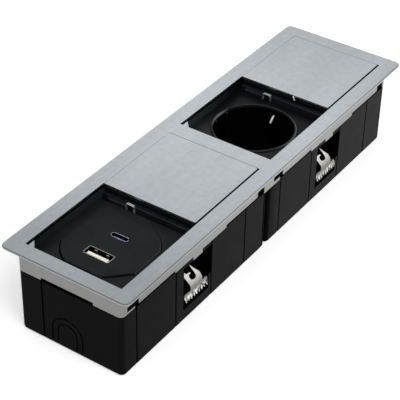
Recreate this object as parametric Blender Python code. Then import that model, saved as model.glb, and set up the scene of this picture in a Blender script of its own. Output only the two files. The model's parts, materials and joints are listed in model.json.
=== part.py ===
"""In-desk power module: a brushed steel top frame over two black moulded housings.

The front housing holds a USB charger, the rear one an earthed 16 A socket. Each has a flush lid
that slides over it. X runs across the module, Y along it from the front end to the rear end, and
Z is up. The origin is the middle of the footprint, on the surface that the housings stand on.
Sizes are in millimetres; MM turns them into metres where a mesh is made.
"""
import math

import bmesh
import bpy
from mathutils import Vector

MM = 0.001

# Overall height, and the general clearance between pieces that meet
HEIGHT = 45.0
FIT = 0.3
# How far a cutter reaches past the face that it cuts, and a joined piece into its neighbour
PAST = 1.0
BITE = 0.5

# Top frame: the rims round its two cut-outs, and its thickness
OPENING_WIDTH = 50.0
OPENING_LENGTH = 53.0
LID_LENGTH = 49.3
LID_LEFT_GAP = 0.3
LID_RIGHT_GAP = 0.9
LID_END_GAP = 0.3
SIDE_RIM = 8.05
FRONT_RIM = 7.3
REAR_RIM = 8.2
BRIDGE = 8.8
PLATE_THICKNESS = 1.2
PLATE_CORNER_RADIUS = 3.0
PLATE_EDGE_BEVEL = 0.5

# Corner stop in each cut-out, and the slit between it and the side rim
STOP_SLIT = 1.6
STOP_WIDTH = 3.4
STOP_LENGTH = 3.9

# Bent-down skirt under the plate
SIDE_OVERHANG = 5.65
END_OVERHANG = 4.05
SKIRT_WALL = 0.8
SKIRT_CORNER_RADIUS = 2.3
SKIRT_DEPTH = 12.3
SKIRT_CORNER_DEPTH = 12.8
SKIRT_MIDDLE_DEPTH = 13.5
SKIRT_CLAW_DEPTH = 13.6
SKIRT_TONGUE_DEPTH = 15.5
SKIRT_NOTCH_DEPTH = 9.6
SKIRT_END_DEPTH = 11.45
WINDOW_TOP_DEPTH = 9.4
WINDOW_BOTTOM_DEPTH = 11.8
TONGUE_WIDTH = 7.0
TONGUE_OFFSET = -0.4

# Stations along a module's side, from the middle of its cut-out
WINDOW_START = -50.8
WINDOW_END = -45.6
FRONT_NOTCH_END = -43.0
CLAW_ZONE_START = -17.3
CLAW_ZONE_END = 21.5
REAR_NOTCH_START = 46.8
REAR_NOTCH_END = 52.4
# Stations across the ends, where the skirt is shallower between two deeper corners
END_STEP_LEFT = -14.8
END_STEP_RIGHT = 12.6

# Housings
HOUSING_GAP = 1.1
HOUSING_SINK = 0.1
SHOULDER_DEPTH = 13.3
HOUSING_FLOOR = 2.0
HOUSING_FILLET = 1.2
CAVITY_MARGIN = 0.5
LEDGE_WIDTH = 1.2
LEDGE_HEIGHT = 1.5
GROOVE_WIDTH = 0.9
GROOVE_DEPTH = 0.5
SIDE_GROOVES = (-44.6, -16.5, 10.3, 37.2, 52.8)
END_GROOVE_X = -14.6
KNOCKOUT_X = -1.8
KNOCKOUT_DEPTH = 36.4
KNOCKOUT_RADII = (8.1, 5.1)
KNOCKOUT_GROOVE = 0.7
KNOCKOUT_LENGTH = 6.0

# Claws, and the stepped pockets that they clip into
POCKET_START = -11.0
POCKET_END = 10.3
POCKET_INSET = 7.2
POCKET_WALL = 1.4
POCKET_ROOF_DEPTH = 15.5
POCKET_SHELF_DEPTH = 31.4
POCKET_FLOOR_DEPTH = 39.0
RECESS_END = 8.3
CLAW_OFFSET = -0.5
CLAW_SHEET = 0.8
CLAW_BEND = 1.5
CLAW_NECK_INSET = 1.2
CLAW_FORK_WIDTH = 8.8
CLAW_FORK_RUN = 5.65
CLAW_FORK_RISE = 5.1
CLAW_BEND_DEPTH = 29.9
CLAW_NECK_HEIGHT = 2.2
CLAW_FOOT_RUN = 0.9
CLAW_FOOT_DROP = 4.0
CLAW_FOOT_LEFT = -9.5
CLAW_FOOT_RIGHT = 8.1
CLAW_SLOT_BASE = 1.2
CLAW_SLOT_LEFT = -2.0
CLAW_SLOT_RIGHT = 2.1
CLAW_LEFT_ARM = 5.8
CLAW_RIGHT_ARM = 7.1
CLAW_HOOK = 4.6
CLAW_HOOK_TIP = 0.1
CLAW_HOOK_SHEET = 0.6
CLAW_CHAMFER = 1.3
CLAW_NICK = 0.6
CLAW_WAIST = 2.2
CLAW_EAR_TOP = 1.5
CLAW_EAR_NOTCH = 1.0
CLAW_TEETH = 9
CLAW_TOOTH = 1.7
PEG_INSET = 1.0
PEG_RADIUS = 0.55
PEG_OFFSET = 0.75
PEG_DEPTH = 27.6

# Lids: a steel sheet on a black carrier whose edges run under the side rims
LID_SHEET = 1.0
LID_EDGE_BEVEL = 0.1
LID_CORNER_RADIUS = 0.5
CARRIER_DEPTH = 3.1
CARRIER_INSET = 0.3
RUNNER_TOP_DEPTH = 1.5
RUNNER_THICKNESS = 0.8
RUNNER_REACH = 0.8
RUNNER_END = 2.0
CARRIER_RECESS = 0.7
CARRIER_RECESS_MARGIN = 4.0

# Size of the mark on each lid's slide
SLIDE_MARK = 10.0

# Decks under the lids, with the block that carries the detent spring
DECK_DEPTH = 4.9
DECK_THICKNESS = 1.4
DECK_SETBACK = 1.95
DECK_LIP_DEPTH = 10.0
DECK_LIP_WALL = 1.2
DECK_TRACK_INSET = 3.0
DECK_TRACK_WIDTH = 1.4
DECK_TRACK_DEPTH = 0.5
DECK_TRACK_END = 4.0
CATCH_INSET = 3.8
CATCH_WIDTH = 9.9
SPRING_WIDTH = 4.4
SPRING_BAND = 1.35
SPRING_BEND = 0.5
SPRING_TOP_DEPTH = 3.4
SPRING_FOOT_DEPTH = 7.8
SPRING_SHEET = 0.35

# Inserts: one face size for the socket and for the USB charger
INSERT_LENGTH = 49.4
INSERT_FACE_DEPTH = 6.3
INSERT_THICKNESS = 2.0
INSERT_MARGIN = 0.45
INSERT_CORNER_RADIUS = 0.8

# Earthed socket, to the usual 40 mm well
RING_DEPTH = 5.6
WELL_RADIUS = 19.6
RING_WALL = 0.9
RING_BEVEL = 0.3
WELL_WALL = 1.4
WELL_DEPTH = 17.5
WELL_FLOOR = 2.5
PIN_PITCH = 19.0
PIN_HOLE_RADIUS = 2.8
KEY_RIB_OFFSET = 4.7
KEY_RIB_WIDTH = 1.2
KEY_RIB_REACH = 1.5
STRAP_WIDTH = 2.4
STRAP_TIP = 0.9
STRAP_SHEET = 0.8
STRAP_RADIUS = 18.0
STRAP_BOW = 2.8
STRAP_LEAD = 3.0
STRAP_BULGE = 1.5
STRAP_TOP_DEPTH = 9.0
STRAP_BEND = 1.2
CARRIER_BLOCK_WIDTH = 32.0
CARRIER_BLOCK_LENGTH = 30.0
CONTACT_CLEARANCE = 7.4
SLEEVE_RADIUS = 3.4
SLEEVE_WALL = 0.8
SLEEVE_TAIL = 3.0
SLEEVE_TAIL_HALF = 2.0
SLEEVE_BASE = 1.5
SLEEVE_SLIT_BASE = 3.0
# Driver slot in a screw head, and the slit in a sleeve
SLOT_WIDTH = 0.7
SLOT_DEPTH = 0.8

# USB charger
CENTRE_RAISE = 0.8
CENTRE_BEVEL = 0.6
CENTRE_FLAT = 19.3
CENTRE_RADIUS = 21.3
CENTRE_LIP = 1.6
CENTRE_LIP_THICKNESS = 1.2
USB_A_Y = -7.8
USB_A_WIDTH = 13.5
USB_A_HEIGHT = 5.6
USB_C_Y = 6.6
USB_C_WIDTH = 9.2
USB_C_HEIGHT = 3.1
PORT_WALL = 0.3
PORT_CORNER_RADIUS = 0.5
PORT_LENGTH = 13.7
PORT_PROUD = 0.15
TONGUE_A_WIDTH = 11.0
TONGUE_A_THICKNESS = 2.2
TONGUE_A_RECESS = 0.4
TONGUE_C_WIDTH = 6.6
TONGUE_C_THICKNESS = 0.8
TONGUE_C_RECESS = 1.1
CASE_WIDTH = 32.8
CASE_LENGTH = 36.8
CASE_WALL = 1.2
CASE_CORNER_RADIUS = 2.0
CASE_LEDGE = 1.3
BOARD_THICKNESS = 1.6
TRANSFORMER_WIDTH = 14.0
TRANSFORMER_FLANGE = 1.5
TRANSFORMER_CLEARANCE = 8.0
CAPACITOR_RADIUS = 5.0
CAPACITOR_BEVEL = 0.5
CAPACITOR_CLEARANCE = 6.0
BOARD_PART_MARGIN = 0.9

# Mains terminals and cord clamp, under the rear deck
TERMINAL_SIZE = (30.0, 15.0, 14.0)
TERMINAL_FROM_END = 36.0
TERMINAL_PITCH = 9.0
TERMINAL_BEVEL = 0.8
TERMINAL_ENTRY_HEIGHT = 5.6
TERMINAL_SCREW_SINK = 1.2
TERMINAL_FUNNEL_RADIUS = 2.6
TERMINAL_SCREW_RADIUS = 2.0
CLAMP_SIZE = (28.0, 7.0, 3.0)
CLAMP_FROM_END = 12.0
CLAMP_POST_HEIGHT = 7.0
CLAMP_SCREW_RADIUS = 1.6
CLAMP_POST_WALL = 1.6
SCREW_HEAD_RIM = 1.2
SCREW_HEAD_HEIGHT = 1.8
CLAMP_SCREW_X = 10.6
CLAMP_ARCH = 4.6
CLAMP_ARCH_FOOT = 6.0

# Worked out from the sizes above
CUT_LENGTH = OPENING_LENGTH + LID_LENGTH + LID_END_GAP
PLATE_WIDTH = OPENING_WIDTH + 2 * SIDE_RIM
PLATE_LENGTH = FRONT_RIM + CUT_LENGTH + BRIDGE + CUT_LENGTH + REAR_RIM
CUT_HALF = OPENING_WIDTH / 2
INSERT_WIDTH = OPENING_WIDTH - 2 * FIT
CATCH_LEFT = CATCH_INSET - CUT_HALF
SKIRT_X = PLATE_WIDTH / 2 - SIDE_OVERHANG
SKIRT_Y = PLATE_LENGTH / 2 - END_OVERHANG
CUT_STARTS = (
    -PLATE_LENGTH / 2 + FRONT_RIM,
    -PLATE_LENGTH / 2 + FRONT_RIM + CUT_LENGTH + BRIDGE,
)
BRIDGE_MIDDLE = CUT_STARTS[1] - BRIDGE / 2
BODY_X = SKIRT_X - HOUSING_SINK
POCKET_BACK = BODY_X - POCKET_INSET
CLAW_NECK_X = BODY_X - CLAW_NECK_INSET
NECK_X = SKIRT_X - SKIRT_WALL - FIT
CUT_DEEP = SKIRT_TONGUE_DEPTH + 2.0
INSERT_BACK_DEPTH = INSERT_FACE_DEPTH + INSERT_THICKNESS
WELL_FLOOR_DEPTH = RING_DEPTH + WELL_DEPTH
WELL_BACK_DEPTH = WELL_FLOOR_DEPTH + WELL_FLOOR
PORT_BACK_DEPTH = INSERT_FACE_DEPTH - CENTRE_RAISE - PORT_PROUD + PORT_LENGTH
BOARD_DEPTH = PORT_BACK_DEPTH + FIT
FLOOR_DEPTH = HEIGHT - HOUSING_FLOOR
CARRIER_BLOCK_HEIGHT = FLOOR_DEPTH - WELL_BACK_DEPTH - CONTACT_CLEARANCE
CASE_FLOOR_DEPTH = FLOOR_DEPTH - FIT - CASE_WALL
BOARD_PARTS_DEPTH = BOARD_DEPTH + BOARD_THICKNESS + FIT
CASE_HALF = CASE_LENGTH / 2 - CASE_WALL - CASE_LEDGE
TRANSFORMER_HEIGHT = CASE_FLOOR_DEPTH - BOARD_PARTS_DEPTH - TRANSFORMER_CLEARANCE
CAPACITOR_LENGTH = CASE_FLOOR_DEPTH - BOARD_PARTS_DEPTH - CAPACITOR_CLEARANCE

MODULES = ("front", "rear")


def level(depth):
    """Height above the base of a place given as a depth under the top face."""
    return HEIGHT - depth


def module_middle(index):
    return CUT_STARTS[index] + CUT_LENGTH / 2


def insert_middle(index):
    return CUT_STARTS[index] + INSERT_MARGIN + INSERT_LENGTH / 2


def insert_end(index):
    return CUT_STARTS[index] + INSERT_MARGIN + INSERT_LENGTH


def deck_start(index):
    return insert_end(index) + DECK_SETBACK


def clear_scene():
    for item in list(bpy.data.objects):
        bpy.data.objects.remove(item, do_unlink=True)


def finish(name, colour, roughness, metallic):
    material = bpy.data.materials.new(name)
    material.use_nodes = True
    shader = material.node_tree.nodes["Principled BSDF"]
    shader.inputs["Base Color"].default_value = (*colour, 1.0)
    shader.inputs["Roughness"].default_value = roughness
    shader.inputs["Metallic"].default_value = metallic
    return material


def face_outwards(shape):
    bmesh.ops.recalc_face_normals(shape, faces=shape.faces)
    if shape.calc_volume(signed=True) < 0:
        bmesh.ops.reverse_faces(shape, faces=shape.faces)


def new_object(name, mesh_builder, material=None, origin=(0.0, 0.0, 0.0)):
    """Turn a bmesh in millimetres into an object whose own origin is at a given place."""
    face_outwards(mesh_builder)
    mesh = bpy.data.meshes.new(name)
    shift = Vector(origin)
    for vertex in mesh_builder.verts:
        vertex.co = (vertex.co - shift) * MM
    mesh_builder.to_mesh(mesh)
    mesh_builder.free()
    item = bpy.data.objects.new(name, mesh)
    item.location = shift * MM
    bpy.context.scene.collection.objects.link(item)
    if material:
        mesh.materials.append(material)
    return item


def prism(outline, low, high, axis="z"):
    """Extrude a closed outline. The outline is (x, y) for z, (y, z) for x and (x, z) for y."""
    order = {
        "z": lambda a, b, c: (a, b, c),
        "x": lambda a, b, c: (c, a, b),
        "y": lambda a, b, c: (a, c, b),
    }[axis]
    shape = bmesh.new()
    lower = [shape.verts.new(order(a, b, low)) for a, b in outline]
    upper = [shape.verts.new(order(a, b, high)) for a, b in outline]
    shape.faces.new(lower)
    shape.faces.new(upper)
    for here in range(len(outline)):
        after = (here + 1) % len(outline)
        shape.faces.new((lower[here], lower[after], upper[after], upper[here]))
    face_outwards(shape)
    return shape


def box(x_range, y_range, z_range):
    (x0, x1), (y0, y1) = sorted(x_range), sorted(y_range)
    z0, z1 = sorted(z_range)
    return prism([(x0, y0), (x1, y0), (x1, y1), (x0, y1)], z0, z1)


def arc(centre, radius, start, end, steps):
    """Points along an arc, with its angles in degrees."""
    points = []
    for step in range(steps + 1):
        angle = math.radians(start + (end - start) * step / steps)
        points.append((centre[0] + radius * math.cos(angle), centre[1] + radius * math.sin(angle)))
    return points


def circle(centre, radius, steps):
    return arc(centre, radius, 0, 360, steps)[:-1]


def rounded_rectangle(x_range, y_range, radius, steps=4):
    (x0, x1), (y0, y1) = sorted(x_range), sorted(y_range)
    points = arc((x1 - radius, y0 + radius), radius, -90, 0, steps)
    points += arc((x1 - radius, y1 - radius), radius, 0, 90, steps)
    points += arc((x0 + radius, y1 - radius), radius, 90, 180, steps)
    points += arc((x0 + radius, y0 + radius), radius, 180, 270, steps)
    return points


def obround(centre, width, height, steps=8):
    """A slot outline with round ends, long side along X."""
    radius = height / 2
    reach = width / 2 - radius
    points = arc((centre[0] + reach, centre[1]), radius, -90, 90, steps)
    points += arc((centre[0] - reach, centre[1]), radius, 90, 270, steps)
    return points


def bevel_edges(shape, chosen, width, segments=1):
    bmesh.ops.bevel(shape, geom=chosen, offset=width, segments=segments, affect="EDGES",
                    profile=0.5, clamp_overlap=True)
    return shape


def edges_at(shape, height):
    """Edges that lie wholly at one height."""
    return [edge for edge in shape.edges
            if all(abs(vertex.co.z - height) < 1e-4 for vertex in edge.verts)]


def merge(shapes):
    """Put several bmesh solids into one bmesh, as separate shells."""
    target = bmesh.new()
    for shape in shapes:
        scratch = bpy.data.meshes.new("scratch")
        shape.to_mesh(scratch)
        shape.free()
        target.from_mesh(scratch)
        bpy.data.meshes.remove(scratch)
    return target


def boolean(item, shapes, operation):
    """Cut shapes out of an object, or join them to it, and keep the result as its mesh."""
    tool = new_object(item.name + "_tool", merge(shapes))
    tool.hide_render = True
    tool.display_type = "WIRE"
    modifier = item.modifiers.new(operation.lower(), "BOOLEAN")
    modifier.operation = operation
    modifier.solver = "EXACT"
    modifier.use_self = True
    modifier.object = tool
    bpy.context.view_layer.update()
    evaluated = item.evaluated_get(bpy.context.evaluated_depsgraph_get())
    result = bpy.data.meshes.new_from_object(evaluated)
    previous = item.data
    item.modifiers.clear()
    item.data = result
    result.name = item.name
    bpy.data.meshes.remove(previous)
    bpy.data.objects.remove(tool, do_unlink=True)
    tidy = bmesh.new()
    tidy.from_mesh(result)
    bmesh.ops.remove_doubles(tidy, verts=tidy.verts, dist=1e-6)
    bmesh.ops.dissolve_degenerate(tidy, edges=tidy.edges, dist=1e-6)
    tidy.to_mesh(result)
    tidy.free()
    return item


def cut(item, *shapes):
    return boolean(item, shapes, "DIFFERENCE")


def join(item, *shapes):
    return boolean(item, shapes, "UNION")


def smooth(item, angle=35.0):
    item.data.shade_smooth()
    item.data.set_sharp_from_angle(angle=math.radians(angle))
    return item


def offset_path(path, thickness):
    """The path of the sheet's other face: the same line moved sideways, mitred at its bends."""
    moved = []
    for here, point in enumerate(path):
        point = Vector(point)
        before = (point - Vector(path[here - 1])).normalized() if here else None
        after = (Vector(path[here + 1]) - point).normalized() if here + 1 < len(path) else None
        first = before or after
        second = after or before
        normal = Vector((-first.y - second.y, first.x + second.x)).normalized()
        reach = thickness / normal.dot(Vector((-first.y, first.x)))
        moved.append(point + normal * reach)
    return moved


def folded_sheet(blank, path, thickness, place):
    """Fold a flat blank along a path.

    blank is the sheet's outline as (distance along the path, sideways), path is a line in the
    plane of the folds, and place turns (along plane, up plane, sideways) into x, y and z.
    """
    inner = [Vector(point) for point in path]
    outer = offset_path(path, thickness)
    stations = [0.0]
    for first, second in zip(inner, inner[1:]):
        stations.append(stations[-1] + (second - first).length)
    shape = prism(blank, 0.0, 1.0)
    for station in stations[1:-1]:
        geometry = shape.verts[:] + shape.edges[:] + shape.faces[:]
        bmesh.ops.bisect_plane(shape, geom=geometry, dist=1e-6, plane_co=(station, 0, 0),
                               plane_no=(1, 0, 0))
    for vertex in shape.verts:
        along, side, face = vertex.co
        part = 0
        while part + 2 < len(stations) and along > stations[part + 1] + 1e-6:
            part += 1
        share = (along - stations[part]) / (stations[part + 1] - stations[part])
        line = outer if face > 0.5 else inner
        spot = line[part].lerp(line[part + 1], share)
        vertex.co = place(spot.x, spot.y, side)
    return shape


def round_bends(points, radius, steps=3):
    """Round the corners of a line of straight runs with arcs."""
    line = [Vector(points[0])]
    for here in range(1, len(points) - 1):
        corner = Vector(points[here])
        back = (Vector(points[here - 1]) - corner).normalized()
        ahead = (Vector(points[here + 1]) - corner).normalized()
        opening = back.angle(ahead)
        run = radius / math.tan(opening / 2)
        middle = corner + (back + ahead).normalized() * (radius / math.sin(opening / 2))
        start = corner + back * run - middle
        end = corner + ahead * run - middle
        for step in range(steps + 1):
            share = step / steps
            turn = start.lerp(end, share).normalized() * radius
            line.append(middle + turn)
    line.append(Vector(points[-1]))
    return line


def path_length(path):
    return sum((Vector(b) - Vector(a)).length for a, b in zip(path, path[1:]))


def skirt_steps():
    """Depth of the skirt's lower edge along its sides, as (start, end, depth)."""
    steps = []
    last = -SKIRT_Y
    corner_depth = SKIRT_CORNER_DEPTH
    for index in range(len(MODULES)):
        middle = module_middle(index)
        tongue = middle + TONGUE_OFFSET
        stations = (
            (middle + WINDOW_END, corner_depth),
            (middle + FRONT_NOTCH_END, WINDOW_TOP_DEPTH),
            (middle + CLAW_ZONE_START, SKIRT_DEPTH),
            (tongue - TONGUE_WIDTH / 2, SKIRT_CLAW_DEPTH),
            (tongue + TONGUE_WIDTH / 2, SKIRT_TONGUE_DEPTH),
            (middle + CLAW_ZONE_END, SKIRT_CLAW_DEPTH),
            (middle + REAR_NOTCH_START, SKIRT_DEPTH),
            (middle + REAR_NOTCH_END, SKIRT_NOTCH_DEPTH),
        )
        for end, depth in stations:
            steps.append((last, end, depth))
            last = end
        corner_depth = SKIRT_MIDDLE_DEPTH
    steps.append((last, SKIRT_Y, SKIRT_CORNER_DEPTH))
    return steps


def end_steps():
    """Depth of the skirt's lower edge across each end."""
    return (
        (-SKIRT_X, END_STEP_LEFT, SKIRT_CORNER_DEPTH),
        (END_STEP_LEFT, END_STEP_RIGHT, SKIRT_END_DEPTH),
        (END_STEP_RIGHT, SKIRT_X, SKIRT_CORNER_DEPTH),
    )


def mirrored(x_near, x_far):
    """The same X range on both sides of the module."""
    return ((x_near, x_far), (-x_far, -x_near))


def cut_out(index, low, high):
    """The hole in the plate, less the corner stop that reaches into it from the front rim."""
    start = CUT_STARTS[index]
    end = start + CUT_LENGTH
    stop_x = -CUT_HALF + STOP_SLIT
    outline = [(-CUT_HALF, start), (stop_x, start), (stop_x, start + STOP_LENGTH),
               (stop_x + STOP_WIDTH, start), (CUT_HALF, start), (CUT_HALF, end), (-CUT_HALF, end)]
    return prism(outline, low, high)


def top_frame(steel):
    top = HEIGHT
    plate = prism(rounded_rectangle((-PLATE_WIDTH / 2, PLATE_WIDTH / 2),
                                    (-PLATE_LENGTH / 2, PLATE_LENGTH / 2), PLATE_CORNER_RADIUS),
                  level(PLATE_THICKNESS), top)
    bevel_edges(plate, edges_at(plate, top), PLATE_EDGE_BEVEL, segments=2)
    frame = new_object("top_frame", plate, steel)
    skirt = new_object("skirt", prism(rounded_rectangle((-SKIRT_X, SKIRT_X), (-SKIRT_Y, SKIRT_Y),
                                                        SKIRT_CORNER_RADIUS),
                                      level(SKIRT_TONGUE_DEPTH), level(PLATE_THICKNESS / 2)))
    inner_x = SKIRT_X - SKIRT_WALL
    inner_y = SKIRT_Y - SKIRT_WALL
    hollow = prism(rounded_rectangle((-inner_x, inner_x), (-inner_y, inner_y),
                                     SKIRT_CORNER_RADIUS - SKIRT_WALL), level(CUT_DEEP), top)
    cut(skirt, hollow)
    trims = []
    for start, end, depth in skirt_steps():
        if depth < SKIRT_TONGUE_DEPTH:
            for x_range in mirrored(inner_x - SKIRT_CORNER_RADIUS, PLATE_WIDTH / 2):
                trims.append(box(x_range, (start, end), (level(CUT_DEEP), level(depth))))
    for index in range(len(MODULES)):
        middle = module_middle(index)
        for x_range in mirrored(inner_x - PAST, SKIRT_X + PAST):
            trims.append(box(x_range, (middle + WINDOW_START, middle + WINDOW_END),
                             (level(WINDOW_BOTTOM_DEPTH), level(WINDOW_TOP_DEPTH))))
    for left, right, depth in end_steps():
        for side in (-1, 1):
            trims.append(box((left, right), (side * (inner_y - BITE), side * (PLATE_LENGTH / 2)),
                             (level(CUT_DEEP), level(depth))))
    cut(skirt, *trims)
    ring = bmesh.new()
    ring.from_mesh(skirt.data)
    for vertex in ring.verts:
        vertex.co /= MM
    bpy.data.objects.remove(skirt, do_unlink=True)
    join(frame, ring)
    cut(frame, *[cut_out(index, level(PLATE_THICKNESS) - PAST, top + PAST)
                 for index in range(len(MODULES))])
    return smooth(frame)


def knockout_groove(radius, depth_in, y_face, inward):
    """One arch-shaped groove of a cable knockout in an end wall."""
    centre = (KNOCKOUT_X, level(KNOCKOUT_DEPTH))
    half = KNOCKOUT_GROOVE / 2
    outline = [(centre[0] + radius + half, centre[1] - KNOCKOUT_LENGTH)]
    outline += arc(centre, radius + half, 0, 180, 12)
    outline += [(centre[0] - radius - half, centre[1] - KNOCKOUT_LENGTH),
                (centre[0] - radius + half, centre[1] - KNOCKOUT_LENGTH)]
    outline += arc(centre, radius - half, 180, 0, 12)
    outline += [(centre[0] + radius - half, centre[1] - KNOCKOUT_LENGTH)]
    return prism(outline, *sorted((y_face - inward, y_face + inward * depth_in)), axis="y")


def housing_range(index):
    if index == 0:
        return -SKIRT_Y + HOUSING_SINK, BRIDGE_MIDDLE - HOUSING_GAP / 2
    return BRIDGE_MIDDLE + HOUSING_GAP / 2, SKIRT_Y - HOUSING_SINK


def neck_range(index):
    low, high = housing_range(index)
    inset = SKIRT_WALL + FIT - HOUSING_SINK
    return (low + inset, high) if index == 0 else (low, high - inset)


def pocket_range(index):
    middle = module_middle(index)
    return middle + POCKET_START, middle + POCKET_END


def claw_middle(index):
    return module_middle(index) + CLAW_OFFSET


def claw_pocket_block(side, index):
    """The box that the pocket makes on the inside of the housing wall."""
    start, end = pocket_range(index)
    return box((side * (POCKET_BACK - POCKET_WALL), side * (CUT_HALF + BITE)),
               (start - POCKET_WALL, end + POCKET_WALL),
               (level(POCKET_SHELF_DEPTH + POCKET_WALL), level(POCKET_ROOF_DEPTH - POCKET_WALL)))


def claw_pocket(side, index):
    """Deep upper part for the fork, and a shallow lower part for the neck and the foot."""
    reach = side * (BODY_X + PAST)
    deep = box((side * POCKET_BACK, reach), pocket_range(index),
               (level(POCKET_SHELF_DEPTH), level(POCKET_ROOF_DEPTH)))
    start = module_middle(index) + POCKET_START
    shallow = box((side * (CLAW_NECK_X - FIT), reach), (start, module_middle(index) + RECESS_END),
                  (level(POCKET_FLOOR_DEPTH), level(POCKET_SHELF_DEPTH) + PAST))
    return deep, shallow


def claw_peg(side, index):
    """Peg on the pocket's back wall that the claw's fork straddles."""
    centre = (claw_middle(index) + PEG_OFFSET, level(PEG_DEPTH))
    ends = sorted((side * (POCKET_BACK - POCKET_WALL / 2), side * (CLAW_NECK_X - PEG_INSET)))
    return prism(circle(centre, PEG_RADIUS, 16), *ends, axis="x")


def housing(index, black):
    name = "housing_" + MODULES[index]
    low, high = housing_range(index)
    neck_low, neck_high = neck_range(index)
    start = CUT_STARTS[index]
    cavity = (start - CAVITY_MARGIN, start + CUT_LENGTH + CAVITY_MARGIN)
    middle = module_middle(index)
    body = prism(rounded_rectangle((-BODY_X, BODY_X), (low, high), SKIRT_CORNER_RADIUS), 0.0,
                 level(SHOULDER_DEPTH))
    bevel_edges(body, edges_at(body, 0.0), HOUSING_FILLET, segments=3)
    item = new_object(name, body, black)
    neck_radius = SKIRT_CORNER_RADIUS - SKIRT_WALL
    join(item, prism(rounded_rectangle((-NECK_X, NECK_X), (neck_low, neck_high), neck_radius, 3),
                     level(SHOULDER_DEPTH + HOUSING_FLOOR), level(PLATE_THICKNESS + FIT)))
    hollow = box((-CUT_HALF, CUT_HALF), cavity, (HOUSING_FLOOR, HEIGHT))
    runner_floor = RUNNER_TOP_DEPTH + RUNNER_THICKNESS + FIT
    runway = box((-BODY_X - PAST, BODY_X + PAST), cavity, (level(runner_floor), HEIGHT))
    reliefs = []
    skin = SKIRT_X - SKIRT_WALL - FIT
    for first, last, depth in skirt_steps():
        if depth + FIT > SHOULDER_DEPTH and first < high and last > low:
            for x_range in mirrored(skin, BODY_X + PAST):
                reliefs.append(box(x_range, (first - FIT, last + FIT),
                                   (level(depth + FIT), level(SHOULDER_DEPTH) + PAST)))
    cut(item, hollow, runway, *reliefs)
    additions = []
    ledge_x = CUT_HALF - LEDGE_WIDTH
    for x_range in mirrored(ledge_x, CUT_HALF + BITE):
        insert_top = level(INSERT_BACK_DEPTH + FIT)
        additions.append(box(x_range, (start + INSERT_MARGIN, insert_end(index)),
                             (insert_top - LEDGE_HEIGHT, insert_top)))
        deck_top = level(DECK_DEPTH + DECK_THICKNESS + FIT)
        additions.append(box(x_range, (deck_start(index) + DECK_LIP_WALL + FIT, cavity[1] + BITE),
                             (deck_top - LEDGE_HEIGHT, deck_top)))
    for side in (-1, 1):
        additions.append(claw_pocket_block(side, index))
    join(item, *additions)
    pockets = []
    grooves = []
    for side in (-1, 1):
        pockets += claw_pocket(side, index)
        for station in SIDE_GROOVES:
            y = middle + station
            grooves.append(box((side * (BODY_X - GROOVE_DEPTH), side * (BODY_X + PAST)),
                               (y - GROOVE_WIDTH / 2, y + GROOVE_WIDTH / 2),
                               (-PAST, level(SHOULDER_DEPTH) + PAST)))
    cut(item, *pockets)
    for y_face, inward in ((low, 1.0), (high, -1.0)):
        for radius in KNOCKOUT_RADII:
            grooves.append(knockout_groove(radius, GROOVE_DEPTH, y_face, inward))
        grooves.append(box((END_GROOVE_X - GROOVE_WIDTH / 2, END_GROOVE_X + GROOVE_WIDTH / 2),
                           (y_face - inward, y_face + inward * GROOVE_DEPTH),
                           (-PAST, level(SHOULDER_DEPTH) + PAST)))
    cut(item, *grooves)
    posts = [claw_peg(side, index) for side in (-1, 1)]
    if index == 1:
        posts += clamp_posts()
    join(item, *posts)
    return smooth(item)


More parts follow.
